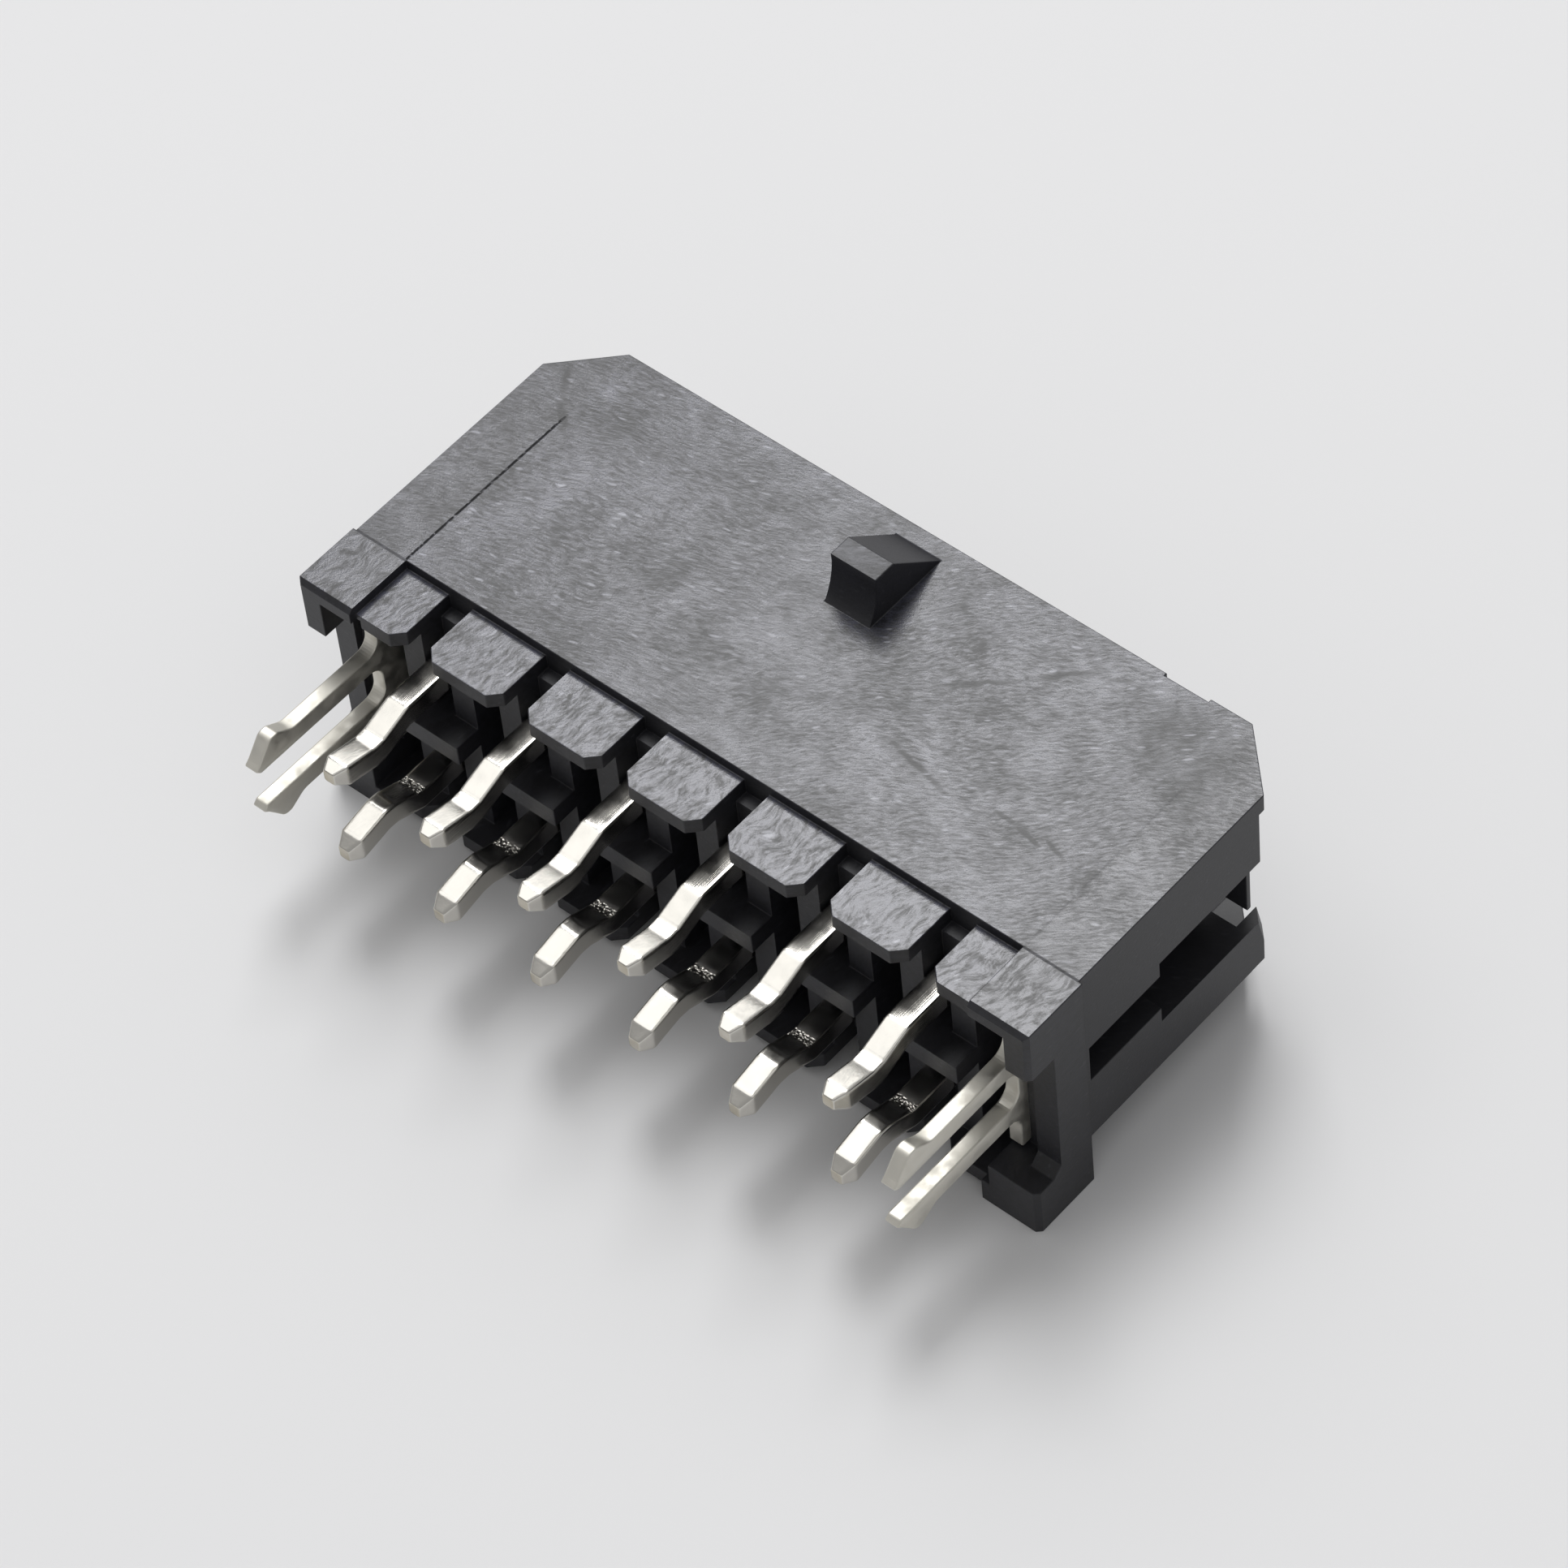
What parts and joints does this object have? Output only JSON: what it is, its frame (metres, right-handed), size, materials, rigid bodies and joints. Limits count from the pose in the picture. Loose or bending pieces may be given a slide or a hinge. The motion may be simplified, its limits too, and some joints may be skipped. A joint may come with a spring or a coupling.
{
  "type": "straight board header connector",
  "caption": "Two-row shrouded board header with a latch ramp, kinked solder tails and barbed fork-lock clips, the board half of a wire-to-board connector.",
  "frame": {"origin": "middle of the bounding box on the flat side, which the header lies on", "axes": "+X along the rows, +Y the mating direction with the board at -Y, +Z through the latch side"},
  "size_m": [0.0218, 0.0132, 0.0087],
  "materials": {
    "moulded_housing": "moulded glass-filled plastic, satin",
    "tinned_wire": "brass wire, bright tin plate",
    "tinned_sheet": "brass sheet, matte tin plate"
  },
  "bodies": {
    "root": {"housing": "moulded_housing", "upper_contact_1": "tinned_wire", "upper_contact_2": "tinned_wire", "upper_contact_3": "tinned_wire", "upper_contact_4": "tinned_wire", "upper_contact_5": "tinned_wire", "upper_contact_6": "tinned_wire", "lower_contact_1": "tinned_wire", "lower_contact_2": "tinned_wire", "lower_contact_3": "tinned_wire", "lower_contact_4": "tinned_wire", "lower_contact_5": "tinned_wire", "lower_contact_6": "tinned_wire", "left_clip": "tinned_sheet", "right_clip": "tinned_sheet"}
  },
  "joints": []
}
